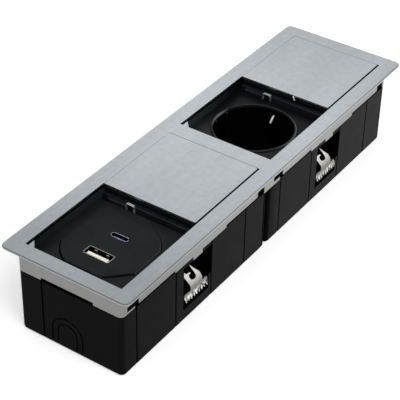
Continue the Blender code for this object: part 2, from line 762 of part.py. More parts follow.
def claw(name, side, index, zinc):
    """Spring claw folded from one sheet: sloping fork, short neck, and a toothed foot."""
    claw_y = claw_middle(index)
    bend = (CLAW_NECK_X, level(CLAW_BEND_DEPTH))
    neck_end = (CLAW_NECK_X, bend[1] - CLAW_NECK_HEIGHT)
    foot_end = (neck_end[0] + CLAW_FOOT_RUN, neck_end[1] - CLAW_FOOT_DROP)
    line = [(bend[0] - CLAW_FORK_RUN, bend[1] + CLAW_FORK_RISE), bend, neck_end, foot_end]
    path = round_bends(line, CLAW_BEND)
    total = path_length(path)
    fork = math.hypot(CLAW_FORK_RUN, CLAW_FORK_RISE)
    foot = total - math.hypot(CLAW_FOOT_RUN, CLAW_FOOT_DROP)
    half = CLAW_FORK_WIDTH / 2
    left_top = fork - CLAW_LEFT_ARM
    right_top = fork - CLAW_RIGHT_ARM
    base = fork - CLAW_SLOT_BASE
    hook = fork - CLAW_HOOK
    left, right = CLAW_SLOT_LEFT, CLAW_SLOT_RIGHT
    chamfer, nick, waist = CLAW_CHAMFER, CLAW_NICK, CLAW_WAIST
    hook_under = hook + CLAW_HOOK_SHEET
    left_arm = [(fork, -half), (left_top + chamfer, -half), (left_top, -half + chamfer),
                (left_top, left - nick), (hook - nick, left - nick), (hook - nick / 2, left),
                (hook, CLAW_HOOK_TIP), (hook_under, CLAW_HOOK_TIP - nick / 2),
                (hook_under, left + chamfer / 2), (hook_under + nick, left)]
    slot = [(base - nick, left), (base, left + chamfer), (base, right - chamfer),
            (base - nick, right - nick / 2), (base - waist, right)]
    right_arm = [(right_top + nick, right), (right_top, right + nick / 2),
                 (right_top + waist, half - 2 * nick), (fork - waist, half + nick / 2),
                 (fork, half)]
    ear = fork + CLAW_EAR_TOP
    ear_left = half + CLAW_EAR_NOTCH
    foot_right = [(foot - nick, half), (foot - nick / 2, ear_left), (ear + nick / 2, ear_left),
                  (ear, ear_left + nick / 2), (ear, CLAW_FOOT_RIGHT - nick),
                  (ear + chamfer, CLAW_FOOT_RIGHT)]
    pitch = (CLAW_FOOT_RIGHT - CLAW_FOOT_LEFT) / CLAW_TEETH
    teeth = []
    for tooth in range(CLAW_TEETH):
        y = CLAW_FOOT_RIGHT - tooth * pitch
        teeth += [(total - CLAW_TOOTH, y), (total, y - pitch / 2)]
    foot_left = [(total - CLAW_TOOTH - chamfer, CLAW_FOOT_LEFT), (ear, CLAW_FOOT_LEFT + nick),
                 (foot - nick / 2, -half)]
    blank = left_arm + slot + right_arm + foot_right + teeth + foot_left
    shape = folded_sheet(blank, path, CLAW_SHEET,
                         lambda a, b, c: (side * a, claw_y + c, b))
    return smooth(new_object(name, shape, zinc), 50.0)


def lid_parent(index):
    """An empty on the slide's line, at the middle of the lid's front edge."""
    empty = bpy.data.objects.new("lid_slide_" + MODULES[index], None)
    empty.location = Vector((0.0, CUT_STARTS[index] + OPENING_LENGTH, HEIGHT)) * MM
    empty.empty_display_size = SLIDE_MARK * MM
    bpy.context.scene.collection.objects.link(empty)
    return empty


def hang_on(item, parent):
    item.parent = parent
    item.matrix_parent_inverse = parent.matrix_world.inverted()


def lid(index, steel, black):
    start = CUT_STARTS[index] + OPENING_LENGTH
    end = start + LID_LENGTH
    left = -CUT_HALF + LID_LEFT_GAP
    right = CUT_HALF - LID_RIGHT_GAP
    parent = lid_parent(index)
    bpy.context.view_layer.update()
    sheet = prism(rounded_rectangle((left, right), (start, end), LID_CORNER_RADIUS, 2),
                  level(LID_SHEET), HEIGHT)
    bevel_edges(sheet, edges_at(sheet, HEIGHT), LID_EDGE_BEVEL)
    plate = new_object("lid_plate_" + MODULES[index], sheet, steel)
    left += CARRIER_INSET
    right -= CARRIER_INSET
    top = level(LID_SHEET + FIT)
    carrier = new_object("lid_carrier_" + MODULES[index],
                         box((left, right), (start + CARRIER_INSET, end - CARRIER_INSET),
                             (level(CARRIER_DEPTH), top)), black)
    reach = CUT_HALF + RUNNER_REACH
    runner_top = level(RUNNER_TOP_DEPTH)
    join(carrier, box((-reach, reach), (start + RUNNER_END, end - RUNNER_END),
                      (runner_top - RUNNER_THICKNESS, runner_top)))
    margin = CARRIER_RECESS_MARGIN
    recess = box((left + margin, right - margin), (start + margin, end - margin),
                 (level(CARRIER_DEPTH) - PAST, level(CARRIER_DEPTH) + CARRIER_RECESS))
    cut(carrier, recess)
    for item in (plate, carrier):
        hang_on(item, parent)
    return plate, carrier


def deck(index, black):
    """Black deck under the lid, with a lip down to the insert and a block for the spring."""
    start = deck_start(index)
    end = CUT_STARTS[index] + CUT_LENGTH + CAVITY_MARGIN - FIT
    half = CUT_HALF - FIT
    top = level(DECK_DEPTH)
    under = top - DECK_THICKNESS
    item = new_object("deck_" + MODULES[index], box((-half, half), (start, end), (under, top)),
                      black)
    lip = box((-half, half), (start, start + DECK_LIP_WALL), (level(DECK_LIP_DEPTH), under + BITE))
    reach = insert_end(index) + FIT
    block = box((CATCH_LEFT, CATCH_LEFT + CATCH_WIDTH), (reach, start + BITE),
                (level(DECK_LIP_DEPTH), top))
    seat = box((CATCH_LEFT, CATCH_LEFT + CATCH_WIDTH + SPRING_WIDTH + 2 * FIT), (reach, start + BITE),
               (level(DECK_LIP_DEPTH), level(SPRING_FOOT_DEPTH + FIT)))
    join(item, lip)
    join(item, seat)
    join(item, block)
    runs = []
    for x_range in mirrored(half - DECK_TRACK_INSET, half - DECK_TRACK_INSET + DECK_TRACK_WIDTH):
        runs.append(box(x_range, (start + DECK_TRACK_END, end - DECK_TRACK_END),
                        (top - DECK_TRACK_DEPTH, top + PAST)))
    cut(item, *runs)
    return item


def detent_spring(index, spring_steel):
    """Arched leaf beside the block: it bears on the lid carrier and holds the lid in place."""
    start = deck_start(index)
    left = CATCH_LEFT + CATCH_WIDTH + FIT
    right = left + SPRING_WIDTH
    foot = level(SPRING_FOOT_DEPTH)
    top = level(SPRING_TOP_DEPTH) - SPRING_SHEET
    inner = SPRING_SHEET
    line = [(left + inner, foot), (left + inner, top), (right - inner, top), (right - inner, foot)]
    path = round_bends(line, SPRING_BEND)
    back = start - FIT
    blank = [(0.0, 0.0), (path_length(path), 0.0), (path_length(path), SPRING_BAND),
             (0.0, SPRING_BAND)]
    shape = folded_sheet(blank, path, SPRING_SHEET, lambda a, b, c: (a, back - c, b))
    return new_object("detent_spring_" + MODULES[index], shape, spring_steel)


def square_face(index):
    middle = insert_middle(index)
    half_x = INSERT_WIDTH / 2
    half_y = INSERT_LENGTH / 2
    return rounded_rectangle((-half_x, half_x), (middle - half_y, middle + half_y),
                             INSERT_CORNER_RADIUS, 2)


def socket_insert(black):
    """Face, raised ring and round well with its keys, holes and strap slots, in one moulding."""
    middle = insert_middle(1)
    item = new_object("socket_insert", prism(square_face(1), level(INSERT_BACK_DEPTH),
                                             level(INSERT_FACE_DEPTH)), black)
    rim = prism(circle((0, middle), WELL_RADIUS + RING_WALL, 64), level(INSERT_BACK_DEPTH) + BITE,
                level(RING_DEPTH))
    bevel_edges(rim, edges_at(rim, level(RING_DEPTH)), RING_BEVEL)
    drum = prism(circle((0, middle), WELL_RADIUS + WELL_WALL, 64), level(WELL_BACK_DEPTH),
                 level(INSERT_BACK_DEPTH + BITE - INSERT_THICKNESS / 2))
    join(item, rim)
    join(item, drum)
    well = prism(circle((0, middle), WELL_RADIUS, 64), level(WELL_FLOOR_DEPTH), HEIGHT)
    cut(item, well)
    ribs = []
    for side in (-1, 1):
        for offset in (-KEY_RIB_OFFSET, KEY_RIB_OFFSET):
            y = middle + offset
            ribs.append(box((side * (WELL_RADIUS - KEY_RIB_REACH),
                             side * (WELL_RADIUS + WELL_WALL / 2)),
                            (y - KEY_RIB_WIDTH / 2, y + KEY_RIB_WIDTH / 2),
                            (level(WELL_FLOOR_DEPTH) - BITE, level(RING_DEPTH + KEY_RIB_WIDTH))))
    join(item, *ribs)
    holes = []
    for side in (-1, 1):
        holes.append(prism(circle((side * PIN_PITCH / 2, middle), PIN_HOLE_RADIUS, 20),
                           level(WELL_BACK_DEPTH) - PAST, level(WELL_FLOOR_DEPTH) + PAST))
        near = STRAP_RADIUS - STRAP_BOW - FIT
        far = STRAP_RADIUS + STRAP_SHEET + FIT
        holes.append(box((-STRAP_WIDTH / 2 - FIT, STRAP_WIDTH / 2 + FIT),
                         (middle + side * near, middle + side * far),
                         (level(WELL_BACK_DEPTH) - PAST, level(WELL_FLOOR_DEPTH) + PAST)))
    cut(item, *holes)
    return smooth(item)


def earth_strap(nickel):
    """One strip: a clip up each side of the well, joined by a run under the contact block."""
    middle = insert_middle(1)
    base = level(WELL_BACK_DEPTH + FIT + CARRIER_BLOCK_HEIGHT + FIT + STRAP_SHEET)
    top = level(STRAP_TOP_DEPTH)
    out = STRAP_RADIUS + STRAP_SHEET
    bow = out - STRAP_BOW
    bulge = top - STRAP_LEAD
    under = bulge - STRAP_BULGE
    half = [(bow + STRAP_LEAD, top), (bow, bulge), (bow, under), (out, under - STRAP_LEAD),
            (out, base)]
    line = [(-a, b) for a, b in half] + list(reversed(half))
    path = round_bends(line, STRAP_BEND)
    length = path_length(path)
    w = STRAP_WIDTH / 2
    tip = STRAP_TIP / 2
    taper = STRAP_LEAD * math.sqrt(2)
    blank = [(0.0, -tip), (taper, -w), (length - taper, -w), (length, -tip),
             (length, tip), (length - taper, w), (taper, w), (0.0, tip)]
    shape = folded_sheet(blank, path, STRAP_SHEET, lambda a, b, c: (c, middle + a, b))
    return smooth(new_object("earth_strap", shape, nickel))


def contact_block(grey):
    middle = insert_middle(1)
    top = level(WELL_BACK_DEPTH + FIT)
    half_x, half_y = CARRIER_BLOCK_WIDTH / 2, CARRIER_BLOCK_LENGTH / 2
    item = new_object("contact_block",
                      prism(rounded_rectangle((-half_x, half_x), (middle - half_y, middle + half_y),
                                              CASE_CORNER_RADIUS, 3),
                            top - CARRIER_BLOCK_HEIGHT, top), grey)
    bores = [prism(circle((side * PIN_PITCH / 2, middle), SLEEVE_RADIUS + FIT, 20),
                   top - CARRIER_BLOCK_HEIGHT - PAST, top + PAST) for side in (-1, 1)]
    cut(item, *bores)
    return smooth(item)


def contact(name, side, brass):
    """Split pin sleeve with the tail that its lead is fixed to."""
    middle = insert_middle(1)
    x = side * PIN_PITCH / 2
    top = level(WELL_BACK_DEPTH + FIT)
    foot = top - CARRIER_BLOCK_HEIGHT
    item = new_object(name, prism(circle((x, middle), SLEEVE_RADIUS, 20), foot, top), brass)
    half_tail = SLEEVE_WALL / 2
    slot = SLOT_WIDTH / 2
    far = SLEEVE_RADIUS + PAST
    join(item, box((x - SLEEVE_TAIL_HALF, x + SLEEVE_TAIL_HALF),
                   (middle - half_tail, middle + half_tail), (foot - SLEEVE_TAIL, foot + BITE)))
    cut(item,
        prism(circle((x, middle), SLEEVE_RADIUS - SLEEVE_WALL, 20), foot + SLEEVE_BASE, top + PAST),
        box((x - slot, x + slot), (middle - far, middle + far), (foot + SLEEVE_SLIT_BASE, top + PAST)))
    return smooth(item)


def centre_outline(index, grow=0.0):
    """Round disc with four flats; two of its corner arcs are cut off straight."""
    middle = insert_middle(index)
    flat = CENTRE_FLAT + grow
    radius = CENTRE_RADIUS + grow
    first = math.degrees(math.acos(flat / radius))
    points = []
    for quarter in range(4):
        start = quarter * 90 + first
        end = (quarter + 1) * 90 - first
        steps = 1 if quarter in (1, 3) else 8
        points += arc((0, middle), radius, start, end, steps)
    return points


def usb_surround(black):
    item = new_object("usb_surround", prism(square_face(0), level(INSERT_BACK_DEPTH),
                                            level(INSERT_FACE_DEPTH)), black)
    cut(item, prism(centre_outline(0, FIT), 0.0, HEIGHT))
    return smooth(item)


def usb_centre(black):
    """Raised middle of the charger's face, with a lip that holds it behind the surround."""
    middle = insert_middle(0)
    top = level(INSERT_FACE_DEPTH - CENTRE_RAISE)
    lip_top = level(INSERT_BACK_DEPTH + FIT)
    disc = prism(centre_outline(0), lip_top - CENTRE_LIP_THICKNESS, top)
    bevel_edges(disc, edges_at(disc, top), CENTRE_BEVEL, segments=2)
    item = new_object("usb_centre", disc, black)
    join(item, prism(centre_outline(0, CENTRE_LIP), lip_top - CENTRE_LIP_THICKNESS, lip_top))
    grow = 2 * FIT
    cut(item,
        prism(rounded_rectangle((-USB_A_WIDTH / 2 - FIT, USB_A_WIDTH / 2 + FIT),
                                (middle + USB_A_Y - USB_A_HEIGHT / 2 - FIT,
                                 middle + USB_A_Y + USB_A_HEIGHT / 2 + FIT),
                                PORT_CORNER_RADIUS, 2), 0.0, HEIGHT),
        prism(obround((0, middle + USB_C_Y), USB_C_WIDTH + grow, USB_C_HEIGHT + grow), 0.0, HEIGHT))
    return smooth(item)


def port_top():
    return level(INSERT_FACE_DEPTH - CENTRE_RAISE - PORT_PROUD)


def usb_a_shell(steel):
    y = insert_middle(0) + USB_A_Y
    w, h = USB_A_WIDTH / 2, USB_A_HEIGHT / 2
    item = new_object("usb_a_shell", prism(rounded_rectangle((-w, w), (y - h, y + h),
                                                             PORT_CORNER_RADIUS, 2),
                                           level(PORT_BACK_DEPTH), port_top()), steel)
    cut(item, box((-w + PORT_WALL, w - PORT_WALL), (y - h + PORT_WALL, y + h - PORT_WALL),
                  (level(PORT_BACK_DEPTH) + PORT_WALL, HEIGHT)))
    return item


def usb_a_tongue(cream):
    y = insert_middle(0) + USB_A_Y
    low = y - USB_A_HEIGHT / 2 + PORT_WALL + FIT
    w = TONGUE_A_WIDTH / 2
    shape = box((-w, w), (low, low + TONGUE_A_THICKNESS),
                (level(PORT_BACK_DEPTH) + PORT_WALL + FIT, port_top() - TONGUE_A_RECESS))
    bevel_edges(shape, edges_at(shape, port_top() - TONGUE_A_RECESS), PORT_WALL)
    return new_object("usb_a_tongue", shape, cream)


def usb_c_shell(steel):
    y = insert_middle(0) + USB_C_Y
    item = new_object("usb_c_shell", prism(obround((0, y), USB_C_WIDTH, USB_C_HEIGHT),
                                           level(PORT_BACK_DEPTH), port_top()), steel)
    cut(item, prism(obround((0, y), USB_C_WIDTH - 2 * PORT_WALL, USB_C_HEIGHT - 2 * PORT_WALL),
                    level(PORT_BACK_DEPTH) + PORT_WALL, HEIGHT))
    return smooth(item)


def usb_c_tongue(blue):
    y = insert_middle(0) + USB_C_Y
    w, h = TONGUE_C_WIDTH / 2, TONGUE_C_THICKNESS / 2
    shape = box((-w, w), (y - h, y + h),
                (level(PORT_BACK_DEPTH) + PORT_WALL + FIT, port_top() - TONGUE_C_RECESS))
    return new_object("usb_c_tongue", shape, blue)


def usb_case(black):
    """Cup under the charger's face that closes the mains parts in."""
    middle = insert_middle(0)
    w, h = CASE_WIDTH / 2, CASE_LENGTH / 2
    top = level(INSERT_BACK_DEPTH + FIT + CENTRE_LIP_THICKNESS + FIT)
    base = level(FLOOR_DEPTH - FIT)
    shelf = level(BOARD_DEPTH + BOARD_THICKNESS + FIT)
    item = new_object("usb_case", prism(rounded_rectangle((-w, w), (middle - h, middle + h),
                                                          CASE_CORNER_RADIUS, 3),
                                        base, top), black)
    inner_x, inner_y = w - CASE_WALL, h - CASE_WALL
    cut(item, box((-inner_x, inner_x), (middle - inner_y, middle + inner_y), (shelf, HEIGHT)))
    cut(item, box((-inner_x + CASE_LEDGE, inner_x - CASE_LEDGE),
                  (middle - inner_y + CASE_LEDGE, middle + inner_y - CASE_LEDGE),
                  (base + CASE_WALL, shelf + PAST)))
    return smooth(item)


def usb_board(green):
    middle = insert_middle(0)
    w = CASE_WIDTH / 2 - CASE_WALL - FIT
    h = CASE_LENGTH / 2 - CASE_WALL - FIT
    return new_object("usb_board", box((-w, w), (middle - h, middle + h),
                                       (level(BOARD_DEPTH + BOARD_THICKNESS), level(BOARD_DEPTH))),
                      green)


def usb_transformer(yellow):
    """Ferrite core with a taped winding, hung under the board."""
    length = CASE_HALF
    y = insert_middle(0) - CASE_HALF + BOARD_PART_MARGIN + length / 2
    width, height = TRANSFORMER_WIDTH, TRANSFORMER_HEIGHT
    top = level(BOARD_PARTS_DEPTH)
    flange = TRANSFORMER_FLANGE
    winding = box((-width / 2 + flange, width / 2 - flange), (y - length / 2, y + length / 2),
                  (top - height + flange, top - flange))
    item = new_object("usb_transformer", winding, yellow)
    core = box((-width / 2, width / 2), (y - length / 2 + 2 * flange, y + length / 2 - 2 * flange),
               (top - height, top))
    return join(item, core)


def usb_capacitor(sleeve):
    y = insert_middle(0) + CASE_HALF - BOARD_PART_MARGIN - CAPACITOR_RADIUS
    top = level(BOARD_PARTS_DEPTH)
    can = prism(circle((0, y), CAPACITOR_RADIUS, 24), top - CAPACITOR_LENGTH, top)
    bevel_edges(can, edges_at(can, top - CAPACITOR_LENGTH), CAPACITOR_BEVEL)
    return smooth(new_object("usb_capacitor", can, sleeve))


def module_end():
    """Inner face of the rear housing's last wall."""
    return CUT_STARTS[1] + CUT_LENGTH + CAVITY_MARGIN


def terminal_block(white):
    y = module_end() - TERMINAL_FROM_END
    width, length, height = TERMINAL_SIZE
    base = level(FLOOR_DEPTH - FIT)
    shape = box((-width / 2, width / 2), (y - length / 2, y + length / 2), (base, base + height))
    bevel_edges(shape, edges_at(shape, base + height), TERMINAL_BEVEL)
    item = new_object("terminal_block", shape, white)
    holes = []
    for pole in (-1, 0, 1):
        x = pole * TERMINAL_PITCH
        holes.append(prism(circle((x, base + TERMINAL_ENTRY_HEIGHT), TERMINAL_FUNNEL_RADIUS, 16),
                           y - length / 2 - PAST, y + length / 2 + PAST, axis="y"))
        holes.append(prism(circle((x, y), TERMINAL_SCREW_RADIUS + FIT, 16),
                           base + TERMINAL_ENTRY_HEIGHT, base + height + PAST))
    cut(item, *holes)
    return smooth(item)


def terminal_screw(name, pole, steel):
    y = module_end() - TERMINAL_FROM_END
    base = level(FLOOR_DEPTH - FIT)
    height = TERMINAL_SIZE[2]
    top = base + height - TERMINAL_SCREW_SINK
    x = pole * TERMINAL_PITCH
    item = new_object(name, prism(circle((x, y), TERMINAL_SCREW_RADIUS, 16),
                                  base + TERMINAL_ENTRY_HEIGHT, top), steel)
    slot = SLOT_WIDTH / 2
    far = TERMINAL_SCREW_RADIUS + PAST
    cut(item, box((x - slot, x + slot), (y - far, y + far), (top - SLOT_DEPTH, top + PAST)))
    return smooth(item)


def clamp_posts():
    y = module_end() - CLAMP_FROM_END
    top = HOUSING_FLOOR + CLAMP_POST_HEIGHT
    return [prism(circle((side * CLAMP_SCREW_X, y), CLAMP_SCREW_RADIUS + CLAMP_POST_WALL, 16),
                  HOUSING_FLOOR - BITE, top) for side in (-1, 1)]


def cord_clamp(black):
    """Bar that holds a mains cord down on the housing's floor; its middle is arched."""
    y = module_end() - CLAMP_FROM_END
    width, length, height = CLAMP_SIZE
    base = HOUSING_FLOOR + CLAMP_POST_HEIGHT + FIT
    half = width / 2
    outline = [(-half, base), (-CLAMP_ARCH_FOOT, base)]
    outline += arc((0, base), CLAMP_ARCH, 180, 0, 10)
    outline += [(CLAMP_ARCH_FOOT, base), (half, base), (half, base + height)]
    crown = CLAMP_ARCH + height
    meet = math.degrees(math.asin(height / crown))
    outline += arc((0, base), crown, meet, 180 - meet, 10)
    outline += [(-half, base + height)]
    item = new_object("cord_clamp", prism(outline, y - length / 2, y + length / 2, axis="y"), black)
    holes = [prism(circle((side * CLAMP_SCREW_X, y), CLAMP_SCREW_RADIUS + FIT, 16), base - PAST,
                   base + height + PAST) for side in (-1, 1)]
    cut(item, *holes)
    return smooth(item)


def clamp_screw(name, side, steel):
    x = side * CLAMP_SCREW_X
    y = module_end() - CLAMP_FROM_END
    base = HOUSING_FLOOR + CLAMP_POST_HEIGHT + FIT
    top = base + CLAMP_SIZE[2] + FIT
    head = CLAMP_SCREW_RADIUS + SCREW_HEAD_RIM
    crown = top + SCREW_HEAD_HEIGHT
    profile = [(0.0, base), (CLAMP_SCREW_RADIUS, base), (CLAMP_SCREW_RADIUS, top), (head, top),
               (head, crown - BITE), (head - BITE, crown), (0.0, crown)]
    item = new_object(name, turned(profile, x, y, 16), steel)
    slot = SLOT_WIDTH / 2
    far = head + PAST
    cut(item, box((x - slot, x + slot), (y - far, y + far), (crown - SLOT_DEPTH, crown + PAST)))
    return smooth(item)


def turned(profile, x, y, steps):
    """Revolve a profile of (radius, height) that starts and ends on the axis."""
    shape = bmesh.new()
    rings = []
    for radius, height in profile:
        if radius == 0.0:
            rings.append([shape.verts.new((x, y, height))])
        else:
            rings.append([shape.verts.new((a, b, height))
                          for a, b in circle((x, y), radius, steps)])
    for lower, upper in zip(rings, rings[1:]):
        for step in range(steps):
            after = (step + 1) % steps
            if len(lower) == 1:
                shape.faces.new((lower[0], upper[after], upper[step]))
            elif len(upper) == 1:
                shape.faces.new((lower[step], lower[after], upper[0]))
            else:
                shape.faces.new((lower[step], lower[after], upper[after], upper[step]))
    face_outwards(shape)
    return shape


def build():
    clear_scene()
    steel = finish("brushed_stainless", (0.52, 0.55, 0.58), 0.38, 1.0)
    black = finish("black_moulding", (0.018, 0.018, 0.019), 0.42, 0.0)
    face = finish("black_face", (0.016, 0.017, 0.019), 0.32, 0.0)
    zinc = finish("zinc_plated_steel", (0.70, 0.70, 0.66), 0.33, 1.0)
    bright = finish("bright_spring_steel", (0.74, 0.74, 0.74), 0.22, 1.0)
    nickel = finish("nickel_plated_brass", (0.72, 0.69, 0.62), 0.22, 1.0)
    brass = finish("brass", (0.70, 0.50, 0.22), 0.30, 1.0)
    cream = finish("cream_nylon", (0.80, 0.74, 0.62), 0.45, 0.0)
    blue = finish("blue_nylon", (0.05, 0.15, 0.60), 0.40, 0.0)
    white = finish("white_nylon", (0.78, 0.78, 0.75), 0.50, 0.0)
    green = finish("board_laminate", (0.03, 0.20, 0.08), 0.40, 0.0)
    yellow = finish("winding_tape", (0.85, 0.62, 0.08), 0.45, 0.0)
    sleeve = finish("capacitor_sleeve", (0.03, 0.04, 0.12), 0.35, 0.0)

    top_frame(steel)
    for index, module in enumerate(MODULES):
        housing(index, black)
        lid(index, steel, black)
        deck(index, black)
        detent_spring(index, bright)
        for side, hand in ((-1, "left"), (1, "right")):
            claw("claw_" + module + "_" + hand, side, index, zinc)
    usb_surround(face)
    usb_centre(face)
    usb_a_shell(bright)
    usb_a_tongue(cream)
    usb_c_shell(bright)
    usb_c_tongue(blue)
    usb_case(black)
    usb_board(green)
    usb_transformer(yellow)
    usb_capacitor(sleeve)
    socket_insert(face)
    earth_strap(nickel)
    contact_block(white)
    contact("contact_line", -1, brass)
    contact("contact_neutral", 1, brass)
    terminal_block(white)
    for pole, wire in ((-1, "line"), (0, "earth"), (1, "neutral")):
        terminal_screw("terminal_screw_" + wire, pole, zinc)
    cord_clamp(black)
    for side, hand in ((-1, "left"), (1, "right")):
        clamp_screw("clamp_screw_" + hand, side, zinc)


build()
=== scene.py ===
"""Looks for the in-desk power module: its sheet metal, mouldings, ports and contacts.

Lengths are in millimetres in the part's own frame, and MM turns them into metres.
"""
import json
import math

import bmesh
import bpy
from mathutils import Matrix, Vector


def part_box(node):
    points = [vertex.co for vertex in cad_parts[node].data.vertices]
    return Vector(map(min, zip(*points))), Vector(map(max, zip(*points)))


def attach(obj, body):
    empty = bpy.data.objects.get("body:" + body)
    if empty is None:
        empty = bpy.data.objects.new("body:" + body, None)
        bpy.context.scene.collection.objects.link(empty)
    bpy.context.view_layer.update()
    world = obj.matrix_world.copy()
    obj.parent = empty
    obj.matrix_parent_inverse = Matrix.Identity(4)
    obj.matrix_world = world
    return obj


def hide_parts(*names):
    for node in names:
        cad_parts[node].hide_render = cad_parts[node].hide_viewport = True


MM = 0.001

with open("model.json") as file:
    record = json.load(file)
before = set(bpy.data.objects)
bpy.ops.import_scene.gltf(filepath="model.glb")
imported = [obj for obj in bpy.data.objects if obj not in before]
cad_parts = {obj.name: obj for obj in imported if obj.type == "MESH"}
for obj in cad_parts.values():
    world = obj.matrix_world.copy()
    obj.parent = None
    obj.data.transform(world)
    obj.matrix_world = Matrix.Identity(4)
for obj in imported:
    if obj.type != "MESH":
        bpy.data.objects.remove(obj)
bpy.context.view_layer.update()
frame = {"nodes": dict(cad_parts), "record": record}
bodies = frame["record"]["behaviour"]["bodies"]
body_of = {node: body for body, nodes in bodies.items() for node in nodes}
slot_of = {entry["node"]: entry["material_slot"] for entry in frame["record"]["subparts"]}


def corners(node):
    """Lowest and highest corner of a solid, in millimetres."""
    low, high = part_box(node)
    return [c / MM for c in low], [c / MM for c in high]


# Half the frame's length, the height of its top, and a height just under its sheet
FRAME_END, HEIGHT = corners("top_frame")[1][1:]
SHEET_BACK = HEIGHT - 1.3
# Half sizes of a box just past the frame's cut-outs, and a half length past everything
CUT_OUT_SIDE = corners("usb_surround")[1][0] + 0.6
CUT_OUT_END = FRAME_END - 4.75
PAST_ENDS = FRAME_END + 5.0
# The housings' outer faces, their rounded corners, and the depth at which a groove counts as one
HOUSING_SIDE, HOUSING_END = corners("housing_rear")[1][:2]
HOUSING_CORNER = 2.5
GROOVE_DEPTH = 0.15
# The faces of the two housings on either side of the gap between them
GAP_FRONT = corners("housing_front")[1][1]
GAP_REAR = corners("housing_rear")[0][1]
# Top of the ports' shells, the socket's face round its raised ring, and the fold of a claw's foot
PORT_TOP = corners("usb_a_shell")[1][2]
SOCKET_FACE = corners("socket_insert")[1][2] - 0.7
CLAW_FOOT = corners("claw_front_right")[0][2] + 3.1

# Numbers of the colour sockets of Blender's Mix node: lower tone, upper tone and result
UNDER, OVER, MIXED = 6, 7, 2
# The part of a noise pattern's range in which it really varies
NOISE_RANGE = {"From Min": 0.3, "From Max": 0.7}


def linear(tone):
    """Linear colour of an sRGB hex value."""
    channels = [int(tone[i:i + 2], 16) / 255 for i in (0, 2, 4)]
    return [c / 12.92 if c <= 0.04045 else ((c + 0.055) / 1.055) ** 2.4 for c in channels] + [1.0]


def add(tree, kind, inputs=None, out=None, **settings):
    """One shader node with its settings; each input gets a value, an sRGB hex tone or a link.

    out names or numbers the output to hand back, and without it the node itself comes back.
    """
    node = tree.nodes.new("ShaderNode" + kind)
    for name, value in settings.items():
        setattr(node, name, value)
    for name, value in (inputs or {}).items():
        if isinstance(value, bpy.types.NodeSocket):
            tree.links.new(value, node.inputs[name])
        elif isinstance(value, str):
            node.inputs[name].default_value = linear(value)
        else:
            node.inputs[name].default_value = value
    return node if out is None else node.outputs[out]


def new_material(name):
    """An empty material and its node tree."""
    material = bpy.data.materials.new(name)
    material.use_nodes = True
    material.node_tree.nodes.clear()
    return material, material.node_tree


def finished(material, inputs):
    """The material, once its patterns and values lead to its surface."""
    tree = material.node_tree
    shader = add(tree, "BsdfPrincipled", inputs, 0)
    add(tree, "OutputMaterial", {"Surface": shader})
    return material


def place_in_mm(tree, stretch=(1.0, 1.0, 1.0)):
    """Position on the piece in millimetres, stretched where a pattern has a direction."""
    spot = add(tree, "TexCoord", out="Object")
    return add(tree, "Mapping", {"Vector": spot, "Scale": [s / MM for s in stretch]}, 0)


def grain(tree, size, detail=2.0, roughness=0.5, stretch=(1.0, 1.0, 1.0)):
    """Blotches about this many millimetres across, stretched where they have a direction."""
    return add(tree, "TexNoise", {"Vector": place_in_mm(tree, stretch), "Scale": 1.0 / size,
                                  "Detail": detail, "Roughness": roughness}, "Fac")


def painted(tree, tone, *coats):
    """A tone with others laid over it in turn, each where its mask is 1."""
    for mask, coat in coats:
        tone = add(tree, "Mix", {"Factor": mask, UNDER: tone, OVER: coat}, MIXED,
                   data_type="RGBA")
    return tone


def along(tree, axis, start, end):
    """0 to 1 between two places along an axis of the part, in millimetres."""
    spot = add(tree, "TexCoord", out="Object")
    place = add(tree, "SeparateXYZ", {0: spot}, axis)
    return add(tree, "MapRange", {"Value": place, "From Min": start * MM, "From Max": end * MM},
               "Result")


def facing(tree, axis, low, high):
    """0 to 1 as a face turns towards an axis of the part, between two shares of the full turn."""
    normal = add(tree, "TexCoord", out="Normal")
    share = add(tree, "SeparateXYZ", {0: normal}, axis)
    return add(tree, "MapRange", {"Value": share, "From Min": low, "From Max": high}, "Result")


def within(tree, half_width, half_length, height):
    """1 inside a box round the part's middle and above a height in millimetres, else 0."""
    fade = 0.3
    spot = add(tree, "TexCoord", out="Object")
    split = add(tree, "SeparateXYZ", {0: spot})
    inside = along(tree, "Z", height, height + fade)
    for axis, half in (("X", half_width), ("Y", half_length)):
        off = add(tree, "Math", {0: split.outputs[axis]}, 0, operation="ABSOLUTE")
        near = add(tree, "Math", {0: off, 1: half * MM}, 0, operation="LESS_THAN")
        inside = add(tree, "Math", {0: near, 1: inside}, 0, operation="MULTIPLY")
    return inside


def shade_below(tree, tone, low, high, deep="040404"):
    """Tone that falls off to near black between two heights of the part, in millimetres: painted
    shade.
    """
    return painted(tree, deep, (along(tree, "Z", low, high), tone))


def room_light(tree, tone):
    """Steel tone as its surroundings light it: fullest past the middle, less towards both ends."""
    stops = ((0.07, 0.63), (0.29, 0.86), (0.63, 1.0), (0.98, 0.8))
    ramp = add(tree, "ValToRGB", {"Fac": along(tree, "Y", -FRAME_END, FRAME_END)})
    while len(ramp.color_ramp.elements) < len(stops):
        ramp.color_ramp.elements.new(1.0)
    for stop, (place, level) in zip(ramp.color_ramp.elements, stops):
        stop.position = place
        stop.color = (level, level, level, 1.0)
    return add(tree, "Mix", {"Factor": 1.0, UNDER: tone, OVER: ramp.outputs[0]}, MIXED,
               data_type="RGBA", blend_type="MULTIPLY")


